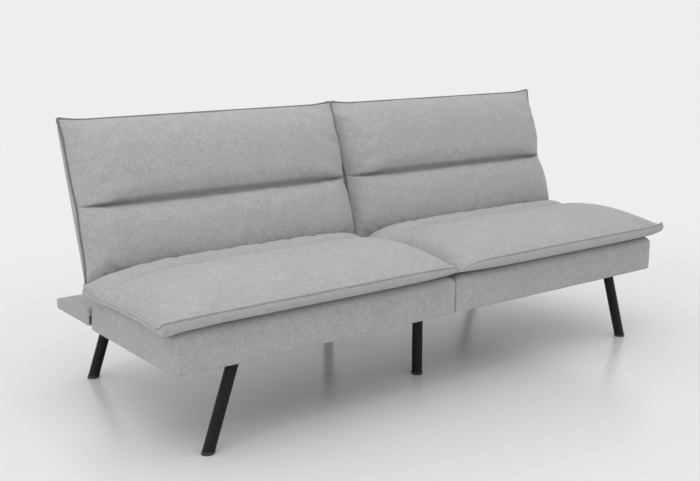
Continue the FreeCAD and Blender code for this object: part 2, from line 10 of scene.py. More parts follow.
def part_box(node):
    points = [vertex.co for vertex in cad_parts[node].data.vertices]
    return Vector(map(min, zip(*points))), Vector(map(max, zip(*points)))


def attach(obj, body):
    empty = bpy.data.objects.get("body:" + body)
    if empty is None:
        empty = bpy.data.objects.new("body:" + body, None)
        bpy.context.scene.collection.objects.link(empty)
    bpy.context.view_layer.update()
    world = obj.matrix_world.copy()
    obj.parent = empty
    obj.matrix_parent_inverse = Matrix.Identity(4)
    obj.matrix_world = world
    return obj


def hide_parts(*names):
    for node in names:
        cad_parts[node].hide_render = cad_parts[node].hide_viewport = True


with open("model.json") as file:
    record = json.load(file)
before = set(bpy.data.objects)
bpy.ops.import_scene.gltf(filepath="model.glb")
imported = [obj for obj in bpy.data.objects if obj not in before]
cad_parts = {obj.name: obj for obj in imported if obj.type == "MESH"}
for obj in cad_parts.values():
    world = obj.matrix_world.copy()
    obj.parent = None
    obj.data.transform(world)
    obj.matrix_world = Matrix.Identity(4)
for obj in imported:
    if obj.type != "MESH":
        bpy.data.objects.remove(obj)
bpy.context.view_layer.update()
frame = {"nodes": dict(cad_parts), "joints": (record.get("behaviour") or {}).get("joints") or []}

bl_info = {
    "name": "Click clack sofa bed",
    "version": (1, 0, 0),
    "blender": (4, 5, 0),
    "location": "3D View > Sidebar > Sofa bed",
    "description": "Upholstery, cushions and finishes of a sofa bed with fold-down backs",
    "category": "Object",
}

SIDES = {"left": -1.0, "right": 1.0}
HINGE = next(joint for joint in frame["joints"] if joint["name"] == "back_right_recline")
PIVOT = Vector(HINGE["pos_m"])
# How far a back stands up from lying flat
RECLINE = math.radians(HINGE["range_deg"][1])
MM = 0.001


# Sizes and colours that a user would change

class FabricSettings(bpy.types.PropertyGroup):
    colour: FloatVectorProperty(
        name="Cloth", description="Colour of the upholstery", subtype="COLOR",
        default=(0.442, 0.436, 0.448), min=0.0, max=1.0)
    shade: FloatVectorProperty(
        name="Cloth shade", description="Darker threads of the cloth", subtype="COLOR",
        default=(0.316, 0.311, 0.321), min=0.0, max=1.0)
    # Painted shade: the piping is the cloth's own colour, and this darker colour stands in for the shadow
    # along the top of the roll
    piping: FloatVectorProperty(
        name="Piping", description="Colour of the piping round the backs", subtype="COLOR",
        default=(0.205, 0.202, 0.208), min=0.0, max=1.0)
    lining: FloatVectorProperty(
        name="Lining", description="Colour of the cloth under the seats", subtype="COLOR",
        default=(0.012, 0.012, 0.013), min=0.0, max=1.0)
    fibre: FloatProperty(
        name="Fibre size", description="Size of the cloth's finest grain", default=1.1 * MM,
        min=0.3 * MM, max=5 * MM, unit="LENGTH")


class SeatSettings(bpy.types.PropertyGroup):
    crown: FloatProperty(
        name="Crown", description="Height of the front band above the seat box",
        default=101 * MM, min=60 * MM, max=110 * MM, unit="LENGTH")
    welt: FloatProperty(
        name="Welt", description="Radius of the sewn roll round the cushion",
        default=2.5 * MM, min=1 * MM, max=5 * MM, unit="LENGTH")
    swell: FloatProperty(
        name="Swell", description="How far the stuffing may push the cloth out",
        default=9 * MM, min=5 * MM, max=30 * MM, unit="LENGTH")


class BackSettings(bpy.types.PropertyGroup):
    crown: FloatProperty(
        name="Crown", description="Height of the bands in front of the piping",
        default=70 * MM, min=40 * MM, max=80 * MM, unit="LENGTH")
    piping: FloatProperty(
        name="Piping", description="Radius of the piping round the back",
        default=3.9 * MM, min=1 * MM, max=5 * MM, unit="LENGTH")
    swell: FloatProperty(
        name="Swell", description="How far the stuffing may push the cloth out",
        default=9 * MM, min=5 * MM, max=30 * MM, unit="LENGTH")


class StageSettings(bpy.types.PropertyGroup):
    floor: FloatVectorProperty(
        name="Floor", description="Colour of the floor near the sofa bed", subtype="COLOR",
        default=(0.80, 0.80, 0.81), min=0.0, max=1.0)
    wall: FloatVectorProperty(
        name="Wall", description="Colour of the backdrop, and of the floor far away", subtype="COLOR",
        default=(0.865, 0.85, 0.858), min=0.0, max=1.0)
    light: FloatProperty(
        name="Light", description="Strength of the room's light", default=0.80, min=0.0, max=2.0)
    key: IntProperty(
        name="Key light", description="Power of the overhead lamp, in watts", default=42, min=0, max=900)


def settings():
    """The four groups of settings, held by the scene."""
    scene = bpy.context.scene
    return scene.sofa_fabric, scene.sofa_seat, scene.sofa_back, scene.sofa_stage


# Shader maths

class Socket:
    """A node's output, with the operators that shader expressions use."""

    def __init__(self, graph, output):
        self.graph = graph
        self.output = output

    def _math(self, operation, *values):
        return self.graph.node("ShaderNodeMath", {"operation": operation}, dict(enumerate(values)))

    def __add__(self, other):
        return self._math("ADD", self, other)

    def __radd__(self, other):
        return self._math("ADD", other, self)

    def __sub__(self, other):
        return self._math("SUBTRACT", self, other)

    def __rsub__(self, other):
        return self._math("SUBTRACT", other, self)

    def __mul__(self, other):
        return self._math("MULTIPLY", self, other)

    def __rmul__(self, other):
        return self._math("MULTIPLY", other, self)

    def clamped(self):
        return self.graph.node("ShaderNodeClamp", {}, {"Value": self})

    def step(self, low, high):
        """0 below low, 1 above high, smooth between."""
        return self.graph.node(
            "ShaderNodeMapRange", {"interpolation_type": "SMOOTHSTEP"},
            {"Value": self, "From Min": low, "From Max": high})


class Graph:
    """The nodes of one material, or of the world."""

    def __init__(self, name, store="materials"):
        self.material = getattr(bpy.data, store).new(name)
        self.material.use_nodes = True
        self.tree = self.material.node_tree
        self.shader = self.tree.nodes.get("Principled BSDF")

    def node(self, kind, details, values, output=0):
        """A node with its settings, then the values or links of its sockets."""
        made = self.tree.nodes.new(kind)
        for key, value in details.items():
            setattr(made, key, value)
        for key, value in values.items():
            self.connect(made.inputs[key], value)
        return Socket(self, made.outputs[output])

    def connect(self, socket, value):
        """Link a value to a socket, or set the socket."""
        if isinstance(value, Socket):
            self.tree.links.new(value.output, socket)
        else:
            socket.default_value = value

    def set(self, **values):
        """Sockets of the shader, by name with _ for a space."""
        for key, value in values.items():
            self.connect(self.shader.inputs[key.replace("_", " ")], value)

    def place(self, scale=(1.0, 1.0, 1.0), turn=(0.0, 0.0, 0.0)):
        """Object coordinates, stretched and turned."""
        coordinates = self.node("ShaderNodeTexCoord", {}, {}, "Object")
        return self.node("ShaderNodeMapping", {},
                         {"Vector": coordinates, "Scale": scale, "Rotation": turn})

    def noise(self, vector, scale, detail=2.0, roughness=0.5):
        return self.node("ShaderNodeTexNoise", {},
                         {"Vector": vector, "Scale": scale, "Detail": detail, "Roughness": roughness})

    def mix(self, share, first, second):
        """A colour between two."""
        made = self.tree.nodes.new("ShaderNodeMix")
        made.data_type = "RGBA"
        self.connect(made.inputs["Factor"], share)
        for socket, value in ((made.inputs[6], first), (made.inputs[7], second)):
            if not isinstance(value, Socket):
                value = (*value[:3], 1.0)
            self.connect(socket, value)
        return Socket(self, made.outputs[2])

    def bump(self, height, distance, strength=1.0):
        return self.node("ShaderNodeBump", {}, {"Height": height, "Distance": distance, "Strength": strength})

    def seen(self):
        """1 for the rays that show a backdrop, 0 for those that light the scene."""
        camera, glossy, transmission = [
            self.node("ShaderNodeLightPath", {}, {}, "Is %s Ray" % kind)
            for kind in ("Camera", "Glossy", "Transmission")]
        return (camera + glossy + transmission).clamped()

    def finish(self, kind, share, first, second):
        """Mix two shaders and link them to the output node of that kind."""
        mixed = self.node("ShaderNodeMixShader", {}, {0: share, 1: first, 2: second})
        self.connect(self.tree.nodes[kind + " Output"].inputs["Surface"], mixed)


def cloth_material(name, colour, shade, fibre, turn=0.0, worn=0.5):
    """Brushed woven cloth: melange threads, soft patches where the nap lies over, and fibre."""
    graph = Graph(name)
    space = graph.place(turn=(turn, 0.0, 0.0))
    threads = graph.place(scale=(1.0, 1.0, 0.7), turn=(turn, 0.0, 0.0))
    patches = graph.noise(space, 7.0, detail=3.0, roughness=0.6)
    nap = graph.noise(space, 42.0, detail=3.0, roughness=0.62)
    melange = graph.noise(threads, 0.21 / fibre, detail=2.0, roughness=0.6)
    grain = graph.noise(space, 1.1 / fibre, detail=2.0, roughness=0.65)
    tone = (patches - 0.5) * (0.5 * worn) + (nap - 0.5) * 0.45 + (melange - 0.5) * 1.05 + (grain - 0.5) * 0.9
    share = (tone + 0.42).clamped()
    light = tuple(min(1.0, channel * 1.20) for channel in colour)
    base = graph.mix(share, shade, light)
    graph.set(Base_Color=base, Roughness=(0.94 - (patches - 0.5) * 0.12).clamped())
    graph.shader.inputs["Specular IOR Level"].default_value = 0.22
    graph.shader.inputs["Sheen Weight"].default_value = 0.18
    graph.shader.inputs["Sheen Roughness"].default_value = 0.55
    graph.shader.inputs["Sheen Tint"].default_value = (1.0, 1.0, 1.0, 1.0)
    height = melange * 0.6 + grain * 0.5 + nap * 0.8
    graph.set(Normal=graph.bump(height, 0.0009, 0.55))
    return graph.material


def metal_material(name, colour, roughness, metallic, peel=0.25, gloss=0.5):
    """Painted or plated steel, with a faint orange peel and rubbed dust."""
    graph = Graph(name)
    space = graph.place()
    fine = graph.noise(space, 900.0, detail=2.0)
    broad = graph.noise(space, 26.0, detail=4.0, roughness=0.65)
    tone = ((broad - 0.5) * 0.5 + (fine - 0.5) * 0.3 + 0.5).clamped()
    dark = tuple(channel * 0.78 for channel in colour)
    light = tuple(min(1.0, channel * 1.24 + 0.004) for channel in colour)
    graph.set(Base_Color=graph.mix(tone, dark, light), Roughness=(roughness + (broad - 0.5) * 0.16).clamped())
    graph.shader.inputs["Metallic"].default_value = metallic
    graph.shader.inputs["Specular IOR Level"].default_value = gloss
    graph.set(Normal=graph.bump(fine, 0.0001, peel))
    return graph.material


def plywood_material(name):
    """Birch plywood: long grain on the faces and thin plies at the edges."""
    graph = Graph(name)
    along = graph.place(scale=(0.08, 1.0, 1.0))
    rings = graph.node("ShaderNodeTexWave", {"wave_type": "BANDS", "bands_direction": "Y"},
                       {"Vector": along, "Scale": 18.0, "Distortion": 9.0, "Detail": 3.0}, "Fac")
    fibre = graph.noise(graph.place(scale=(0.05, 1.0, 1.0)), 420.0, detail=3.0)
    plies = graph.node("ShaderNodeTexWave", {"wave_type": "BANDS", "bands_direction": "Z"},
                       {"Vector": graph.place(), "Scale": 105.0}, "Fac")
    tone = (rings * 0.45 + fibre * 0.4 + plies * 0.15).clamped()
    graph.set(Base_Color=graph.mix(tone, (0.44, 0.30, 0.17), (0.66, 0.50, 0.32)),
              Roughness=(0.66 + (fibre - 0.5) * 0.2).clamped(), Normal=graph.bump(fibre, 0.0003, 0.4))
    return graph.material


def foam_material(name):
    """Open-celled cream foam."""
    graph = Graph(name)
    cells = graph.node("ShaderNodeTexVoronoi", {"feature": "F1"},
                       {"Vector": graph.place(), "Scale": 520.0}, "Distance")
    broad = graph.noise(graph.place(), 30.0, detail=3.0)
    tone = (cells * 0.6 + broad * 0.5).clamped()
    graph.set(Base_Color=graph.mix(tone, (0.62, 0.55, 0.36), (0.86, 0.80, 0.60)),
              Roughness=(0.9 + (broad - 0.5) * 0.1).clamped(), Normal=graph.bump(cells, 0.0005, 0.6))
    return graph.material


def lining_material(name, colour):
    """Thin black spun cloth with a fine dimpled grid."""
    graph = Graph(name)
    fibres = graph.noise(graph.place(), 700.0, detail=3.0, roughness=0.7)
    dimples = graph.node("ShaderNodeTexVoronoi", {"feature": "F1"},
                         {"Vector": graph.place(), "Scale": 430.0, "Randomness": 0.1}, "Distance")
    light = tuple(channel * 3.2 + 0.004 for channel in colour)
    graph.set(Base_Color=graph.mix((fibres * 0.7 + dimples * 0.3).clamped(), colour, light),
              Roughness=(0.78 + (fibres - 0.5) * 0.25).clamped(), Normal=graph.bump(dimples, 0.0003, 0.6))
    return graph.material


def plastic_material(name):
    """Moulded black plastic with a fine spark-eroded grain."""
    graph = Graph(name)
    grain = graph.noise(graph.place(), 1500.0, detail=2.0)
    scuffs = graph.noise(graph.place(), 60.0, detail=4.0, roughness=0.7)
    graph.set(Base_Color=graph.mix(scuffs, (0.016, 0.016, 0.017), (0.045, 0.045, 0.046)),
              Roughness=(0.48 + (scuffs - 0.5) * 0.3).clamped(), Normal=graph.bump(grain, 0.0001, 0.5))
    return graph.material


MATERIALS = {}


def make_materials():
    """Every finish of the sofa bed, by a short name."""
    fabric = settings()[0]
    colour, shade = tuple(fabric.colour), tuple(fabric.shade)
    grain = fabric.fibre
    MATERIALS.update({
        "cloth": cloth_material("brushed_cloth", colour, shade, grain),
        "back_cloth": cloth_material("brushed_cloth_of_the_backs", colour, shade, grain, turn=-RECLINE),
        # Painted highlight: the welt is the same cloth, made 3% lighter to stand in for the light caught on
        # the raised roll
        "welt": cloth_material("welt_cloth_painted_highlight", tuple(c * 1.03 for c in colour), shade, grain * 0.8, worn=0.2),
        # Painted shade: the piping takes the darker piping colour, which stands in for the shadow along the
        # top of the roll
        "piping": cloth_material("piping_cloth_painted_shade", tuple(fabric.piping), tuple(c * 0.7 for c in fabric.piping),
                                 grain * 0.8, worn=0.2),
        "lining": lining_material("spun_lining", tuple(fabric.lining)),
        "plywood": plywood_material("birch_plywood"),
        "foam": foam_material("cream_foam"),
        "leg_paint": metal_material("half_gloss_black_paint", (0.0050, 0.0068, 0.0080), 0.42, 0.0, gloss=0.2),
        "frame_paint": metal_material("black_powder_coat", (0.012, 0.012, 0.013), 0.52, 0.0,
                                      peel=0.5, gloss=0.35),
        "zinc": metal_material("zinc_plating", (0.56, 0.56, 0.53), 0.36, 1.0),
        "foot": plastic_material("moulded_black_plastic"),
    })


# Mesh helpers

def deselect():
    if bpy.context.object and bpy.context.object.mode != "OBJECT":
        bpy.ops.object.mode_set(mode="OBJECT")
    bpy.ops.object.select_all(action="DESELECT")


def make_active(piece):
    deselect()
    piece.select_set(True)
    bpy.context.view_layer.objects.active = piece


def apply_modifier(piece, kind, **details):
    """Add a modifier, set it and apply it."""
    make_active(piece)
    made = piece.modifiers.new(kind.lower(), kind)
    for key, value in details.items():
        setattr(made, key, value)
    bpy.ops.object.modifier_apply(modifier=made.name)


def apply_place(piece):
    """Put a piece's place, turn and size into its mesh."""
    make_active(piece)
    bpy.ops.object.transform_apply(location=True, rotation=True, scale=True)


def smooth(piece, angle=None):
    make_active(piece)
    if angle is None:
        bpy.ops.object.shade_smooth()
    else:
        bpy.ops.object.shade_smooth_by_angle(angle=math.radians(angle))


def outward(piece):
    """Merge doubles and turn every face outwards."""
    make_active(piece)
    bpy.ops.object.mode_set(mode="EDIT")
    bpy.ops.mesh.select_all(action="SELECT")
    bpy.ops.mesh.remove_doubles(threshold=0.00002)
    bpy.ops.mesh.normals_make_consistent(inside=False)
    bpy.ops.object.mode_set(mode="OBJECT")


def mirrored(place, side):
    """A place of the right half, on the given side."""
    return Vector((place.x * side, place.y, place.z))


def finish_piece(piece, body, material, replaced=()):
    """Material and body of a new piece; the parts it replaces are hidden."""
    piece.data.materials.clear()
    piece.data.materials.append(MATERIALS[material])
    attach(piece, body)
    if replaced:
        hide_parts(*replaced)


def lattice(name, across, along, upward, place):
    """Closed box of quads whose surface points come from place(a, b, c), each share from 0 to 1.

    across, along and upward list the shares of the grid lines in each direction.
    """
    mesh = bpy.data.meshes.new(name)
    shell = bmesh.new()
    counts = (len(across) - 1, len(along) - 1, len(upward) - 1)
    points = {}

    def point(i, j, k):
        if (i, j, k) not in points:
            points[i, j, k] = shell.verts.new(place(across[i], along[j], upward[k]))
        return points[i, j, k]

    def quad(*corners):
        shell.faces.new([point(*corner) for corner in corners])

    nx, ny, nz = counts
    for i in range(nx):
        for j in range(ny):
            quad((i, j, nz), (i + 1, j, nz), (i + 1, j + 1, nz), (i, j + 1, nz))
            quad((i, j, 0), (i, j + 1, 0), (i + 1, j + 1, 0), (i + 1, j, 0))
    for i in range(nx):
        for k in range(nz):
            quad((i, 0, k), (i + 1, 0, k), (i + 1, 0, k + 1), (i, 0, k + 1))
            quad((i, ny, k), (i, ny, k + 1), (i + 1, ny, k + 1), (i + 1, ny, k))
    for j in range(ny):
        for k in range(nz):
            quad((0, j, k), (0, j, k + 1), (0, j + 1, k + 1), (0, j + 1, k))
            quad((nx, j, k), (nx, j + 1, k), (nx, j + 1, k + 1), (nx, j, k + 1))
    shell.verts.index_update()
    index = {key: vertex.index for key, vertex in points.items()}
    bmesh.ops.recalc_face_normals(shell, faces=shell.faces)
    shell.to_mesh(mesh)
    shell.free()
    piece = bpy.data.objects.new(name, mesh)
    bpy.context.scene.collection.objects.link(piece)
    return piece, index, counts


def even(count):
    """Evenly spaced shares from 0 to 1."""
    return [step / count for step in range(count + 1)]


def rise(share, start, span):
    """0 up to start, then a straight climb that reaches 1 after span."""
    return max(0.0, (share - start) / span)


def fall(share, span):
    """1 at 0, then a straight drop that reaches 0 at span."""
    return max(0.0, 1 - share / span)


def bell(share, centre, width):
    """1 at the centre, and a smooth fall to 0 on both sides."""
    return math.exp(-((share - centre) / width) ** 2)


def through(points, x):
    """Smooth height at x through (x, height) points, without overshoot."""
    if x <= points[0][0]:
        return points[0][1]
    if x >= points[-1][0]:
        return points[-1][1]
    last = len(points) - 1
    slopes = [(points[i + 1][1] - points[i][1]) / (points[i + 1][0] - points[i][0]) for i in range(last)]

    def tangent(i):
        if i == 0:
            return slopes[0]
        if i == last:
            return slopes[-1]
        before, after = slopes[i - 1], slopes[i]
        return 0.0 if before * after <= 0 else 2 * before * after / (before + after)

    for i in range(last):
        (x0, y0), (x1, y1) = points[i], points[i + 1]
        if x <= x1:
            width = x1 - x0
            t = (x - x0) / width
            return ((2 * t ** 3 - 3 * t ** 2 + 1) * y0 + (t ** 3 - 2 * t ** 2 + t) * width * tangent(i)
                    + (3 * t ** 2 - 2 * t ** 3) * y1 + (t ** 3 - t ** 2) * width * tangent(i + 1))
    return points[-1][1]


def inflate(piece, pinned, swell, grow, frames=20):
    """Blow the cloth out with the stuffing's pressure, sewn lines held, and cap how far it moves."""
    start = [vertex.co.copy() for vertex in piece.data.vertices]
    group = piece.vertex_groups.new(name="sewn")
    for index, weight in pinned.items():
        group.add([index], weight, "REPLACE")
    make_active(piece)
    cloth = piece.modifiers.new("cloth", "CLOTH")
    cloth.settings.vertex_group_mass = "sewn"
    cloth.settings.quality = 4
    cloth.settings.mass = 0.25
    cloth.settings.tension_stiffness = 12
    cloth.settings.compression_stiffness = 12
    cloth.settings.shear_stiffness = 6
    cloth.settings.bending_stiffness = 0.6
    cloth.settings.shrink_min = -grow
    cloth.settings.use_pressure = True
    cloth.settings.uniform_pressure_force = 4.0
    cloth.settings.effector_weights.gravity = 0.0
    cloth.collision_settings.use_collision = False
    cloth.point_cache.frame_start = 1
    cloth.point_cache.frame_end = frames
    for step in range(1, frames + 1):
        bpy.context.scene.frame_set(step)
    bpy.ops.object.modifier_apply(modifier="cloth")
    bpy.context.scene.frame_set(1)
    for vertex, old in zip(piece.data.vertices, start):
        way = vertex.co - old
        length = way.length
        if length > 1e-9:
            vertex.co = old + way * (swell * math.tanh(length / swell) / length)
    piece.vertex_groups.clear()


def tube_along(name, points, radius, closed):
    """Round sewn roll that follows a line of points."""
    deselect()
    bpy.ops.curve.primitive_nurbs_path_add()
    path = bpy.context.object
    path.name = name
    path.data.splines.clear()
    spline = path.data.splines.new("NURBS")
    spline.points.add(len(points) - 1)
    for target, place in zip(spline.points, points):
        target.co = (*place, 1.0)
    spline.use_cyclic_u = closed
    spline.use_endpoint_u = not closed
    spline.order_u = 3
    path.data.dimensions = "3D"
    path.data.bevel_depth = radius
    path.data.bevel_resolution = 2
    path.data.resolution_u = 2
    path.data.use_fill_caps = True
    make_active(path)
    bpy.ops.object.convert(target="MESH")
    piece = bpy.context.object
    piece.location = (0, 0, 0)
    piece.rotation_euler = (0, 0, 0)
    outward(piece)
    smooth(piece)
    return piece


# Seat cushions

# Height of the seat box's top
SEAT_TOP = 338.0


class SOFA_OT_seat_cushions(bpy.types.Operator):
    """Two pillow-like seat cushions with a sewn channel and a welt all round"""
    bl_idname = "sofa.seat_cushions"
    bl_label = "Seat cushions"

    def execute(self, context):
        for name, side in SIDES.items():
            make_seat_cushion(name, side)
        return {"FINISHED"}


def end_fullness(share, reach, power):
    """How full a cushion is at a share of its width: 0 at both ends, 1 in the middle."""
    return (1.0 - abs(2.0 * share - 1.0) ** reach) ** power


def seat_lines():
    """Shares of the grid lines along a seat cushion, closer together at the nose and the channel."""
    nose = [0.0, 0.008, 0.02, 0.036, 0.054]
    front = [0.054 + (CHANNEL - 0.032 - 0.054) * step / 36 for step in range(1, 37)]
    groove = [CHANNEL + step for step in (-0.022, -0.012, -0.005, 0.0, 0.005, 0.012, 0.022)]
    rear = [CHANNEL + 0.032 + (1.0 - CHANNEL - 0.032) * step / 10 for step in range(11)]
    return nose + front + groove + rear


# Where the sewn channel runs, as a share of the seat cushion's depth
CHANNEL = 0.79
# Levels of the boxing strip and how far it stands out there, as shares
BOXING = [(0.0, 0.0), (0.22, 0.72), (0.45, 1.0), (0.68, 0.8), (0.86, 0.1), (0.94, -0.3), (1.0, 0.0)]
# Height above the seat box of the middle of a seat cushion, along its depth
SEAT_SHAPE = [
    (0.0, 43.0), (0.02, 53.0), (0.058, 66.0), (0.12, 78.0), (0.19, 88.0), (0.30, 97.0), (0.41, 100.0),
    (0.53, 97.0), (0.66, 88.0), (0.73, 80.0), (0.768, 72.0), (0.782, 66.0), (CHANNEL, 62.0),
    (0.798, 66.0), (0.815, 73.0), (0.855, 82.0), (0.90, 85.0), (0.945, 80.0), (0.975, 68.0),
    (0.99, 52.0), (1.0, 30.0)]
# What differs between the photographed halves. The outer front corner hangs over the box on the left
# and stands up as an ear on the right. Heights are in millimetres, and full holds the reach and power
# of the cushion's fullness towards its outer end.
SEAT_HALVES = {
    "left": {"droop": 0.9, "front_lift": 0.0, "corner_lift": 6.0, "ear": 0.0, "rear_ear": 14.0,
             "seam_drop": 5.7, "full": (4.6, 0.58)},
    "right": {"droop": 0.15, "front_lift": 3.0, "corner_lift": 3.0, "ear": 1.0, "rear_ear": 0.0,
              "seam_drop": 19.0, "full": (7.5, 0.44)},
}


def make_seat_cushion(name, side):
    """One seat cushion, shaped as it lies on its box and then blown out a little, with its welt."""
    seat = settings()[1]
    half = SEAT_HALVES[name]
    low, high = right_box("seat_cushion_" + name)
    inner, outer = 1.2, high.x - 1.0
    front, depth = low.y + 4.0, high.y - low.y - 12.0
    # Plan: how far the sides draw in between the corners, and the front and rear bow out
    inner_draw, outer_draw, front_bow, rear_bow = 7.0, 22.0, 20.0, 6.0
    # Heights of the welt at the ends: along the sides, and what its front and rear corners add
    side_rim, front_rim, rear_rim = 5.0, 20.0, 10.0
    # The underside rests on the box, lifts behind the front welt, and hangs past the box's side
    rest, front_tuck, overhang, box_side = 0.4, 12.5, 11.0, 880.0
    ear_out, ear_up, ear_under = 13.0, 17.0, 8.0
    # How far the boxing strip swells at the front, rear, outer and inner side
    strip_front, strip_rear, strip_outer, strip_inner = 4.5, 4.0, 3.5, 0.6
    least_edge = 9.0
    nose = 0.02

    def place(a, b, c):
        ends = abs(2 * a - 1)
        sides = abs(2 * b - 1)
        reach, power = (6.0, 0.5) if a < 0.5 else half["full"]
        full = end_fullness(a, 3.4 if b < nose else reach, power)
        near_front = fall(b, 0.35)
        ear = half["ear"] * rise(a, 0.82, 0.18) ** 2 * near_front ** 2
        outline = dict(BOXING)[c]
        x_in = inner + inner_draw * (1 - sides ** 3)
        x_out = outer - outer_draw * (1 - sides ** 3) + ear_out * half["ear"] * near_front ** 4
        x = x_in + (x_out - x_in) * a
        y_front = front + front_bow * ends ** 5
        y_rear = front + depth - rear_bow * (1 - ends ** 4)
        y = y_front + (y_rear - y_front) * b
        corner = min(1.0, rise(a, 0.80, 0.20))
        front_corner = front_rim - half["seam_drop"] * fall(a, 0.10) + half["corner_lift"]
        rear_corner = rear_rim + half["rear_ear"] * corner
        end_top = (side_rim + front_corner * fall(b, 0.13) ** 1.5 + ear_up * ear
                   + rear_corner * rise(b, 0.86, 0.14) ** 1.3)
        middle = through(SEAT_SHAPE, b) + (half["front_lift"] if b < nose else 0.0)
        top = end_top + (middle - end_top) * full
        tuck = fall(b, 0.12)
        kept = 1 - half["droop"] * corner ** 1.5
        bottom = rest + front_tuck * tuck ** 1.6 * kept + ear_under * ear * tuck
        bottom -= overhang * min(1.0, rise(x, box_side, 25.0)) ** 2 * (1 - 0.75 * tuck)
        top = max(top, bottom + least_edge)
        y -= strip_front * outline if b == 0.0 else 0.0
        y += strip_rear * outline if b == 1.0 else 0.0
        x += strip_outer * outline if a == 1.0 else 0.0
        x -= strip_inner * outline if a == 0.0 else 0.0
        return Vector((x, y, SEAT_TOP + bottom + (top - bottom) * c)) * MM

    lines = seat_lines()
    across = edge_lines(1.0, 0.03, 0.0098, 5)
    piece, index, counts = lattice("cushion_of_seat_" + name, across, lines,
                                   [level for level, _ in BOXING], place)
    nx, ny, nz = counts
    pinned = {}
    for (i, j, k), number in index.items():
        rim = i in (0, nx) or j in (0, ny)
        if k == 0 or rim or lines[j] == CHANNEL:
            pinned[number] = 1.0
    inflate(piece, pinned, seat.swell, 0.02)
    mesh = piece.data
    settle_height(mesh, SEAT_TOP * MM, seat.crown)
    pucker(mesh, index, counts, side, across, lines)
    welt_line = [mesh.vertices[index[key]].co.copy() for key in rim_keys(nx, ny, nz)]
    for vertex in mesh.vertices:
        vertex.co = mirrored(vertex.co, side)
    outward(piece)
    apply_modifier(piece, "SUBSURF", levels=1, render_levels=1)
    smooth(piece)
    finish_piece(piece, "base", "cloth", ["seat_cushion_" + name])
    roll = tube_along("welt_of_seat_" + name, [mirrored(place, side) for place in welt_line[::2]],
                      seat.welt, True)
    finish_piece(roll, "base", "welt")


def rim_keys(nx, ny, k):
    """Grid points round the edge of a lattice at one level, in order."""
    keys = [(i, 0, k) for i in range(nx)]
    keys += [(nx, j, k) for j in range(ny)]
    keys += [(i, ny, k) for i in range(nx, 0, -1)]
    keys += [(0, j, k) for j in range(ny, 0, -1)]
    return keys


def settle_height(mesh, ground, crown):
    """Scale the heights above the seat box so that the crown is as high as the photographed one."""
    top = max(vertex.co.z for vertex in mesh.vertices) - ground
    for vertex in mesh.vertices:
        height = vertex.co.z - ground
        if height > 0.04:
            share = (height - 0.04) / (top - 0.04)
            vertex.co.z = ground + 0.04 + share * (crown - 0.04)


def pucker(mesh, index, counts, side, across, lines):
    """Small folds that run into the front welt and the channel."""
    nx, ny, nz = counts
    normals = {number: mesh.vertices[number].normal.copy() for number in index.values()}
    for (i, j, k), number in index.items():
        if k != nz:
            continue
        vertex = mesh.vertices[number]
        a, b = across[i], lines[j]
        gathers = 0.35 + 0.65 * noise.noise(Vector((a * 5.0, side * 3.1, 0.0))) ** 2 * 4
        near_front = bell(b, 0.05, 0.08) * gathers
        near_channel = bell(b, CHANNEL, 0.035)
        lean = a * 46.0 + b * 9.0
        ripple = noise.noise(Vector((lean, b * 3.0, side * 7.7)))
        rumple = noise.noise(Vector((a * 9.0, b * 5.0, side * 11.3))) * 1.6
        fade = min(1.0, 12 * a, 12 * (1 - a))
        vertex.co += normals[number] * ((ripple * 2.1 * near_front + ripple * 1.2 * near_channel + rumple)
                                        * fade * MM)


# Back cushions and panels

class SOFA_OT_back_cushions(bpy.types.Operator):
    """Two back cushions, each of two bands with a deep sewn channel, and their piping"""
    bl_idname = "sofa.back_cushions"
    bl_label = "Back cushions"

    def execute(self, context):
        for name, side in SIDES.items():
            make_back_cushion(name, side)
        return {"FINISHED"}


def raised(place):
    """A place on the back, worked out lying flat behind the hinge pin, turned up to its rest."""
    u, v = place.y, place.z
    return Vector((place.x, PIVOT.y + u * math.cos(RECLINE) - v * math.sin(RECLINE),
                   PIVOT.z + u * math.sin(RECLINE) + v * math.cos(RECLINE)))


# Where the sewn channel runs, as a share of the back cushion's height
TUFT = 0.475
# Height of a back cushion in front of its piping, up the back: shares of the crown
BACK_SHAPE = [
    (0.0, 0.03), (0.02, 0.15), (0.045, 0.34), (0.085, 0.60), (0.13, 0.81), (0.19, 0.95), (0.25, 1.0),
    (0.33, 0.99), (0.40, 0.93), (0.44, 0.84), (0.458, 0.75), (0.466, 0.62), (0.4715, 0.42),
    (TUFT, 0.27), (0.4785, 0.56), (0.484, 0.80), (0.492, 0.90), (0.51, 0.96), (0.56, 0.99),
    (0.64, 1.0), (0.76, 0.95), (0.86, 0.78), (0.93, 0.52), (0.975, 0.24), (1.0, 0.03)]
# How far a back cushion's outer side draws in at the channel, in millimetres
WAIST = {"left": 4.0, "right": 14.0}
# Front of the panel behind a back cushion, and the ends of the cushion up the back, in millimetres
PANEL_FRONT = 60.0
BACK_RISE = (42.0, 505.0)


def back_lines():
    """Shares of the grid lines up a back cushion, closer together at the channel."""
    low = [(TUFT - 0.028) * step / 24 for step in range(24)]
    groove = [TUFT + step for step in (-0.028, -0.017, -0.009, -0.0035, 0.0, 0.0035, 0.009, 0.017, 0.028)]
    high = [TUFT + 0.028 + (1 - TUFT - 0.028) * step / 26 for step in range(1, 27)]
    return low + groove + high


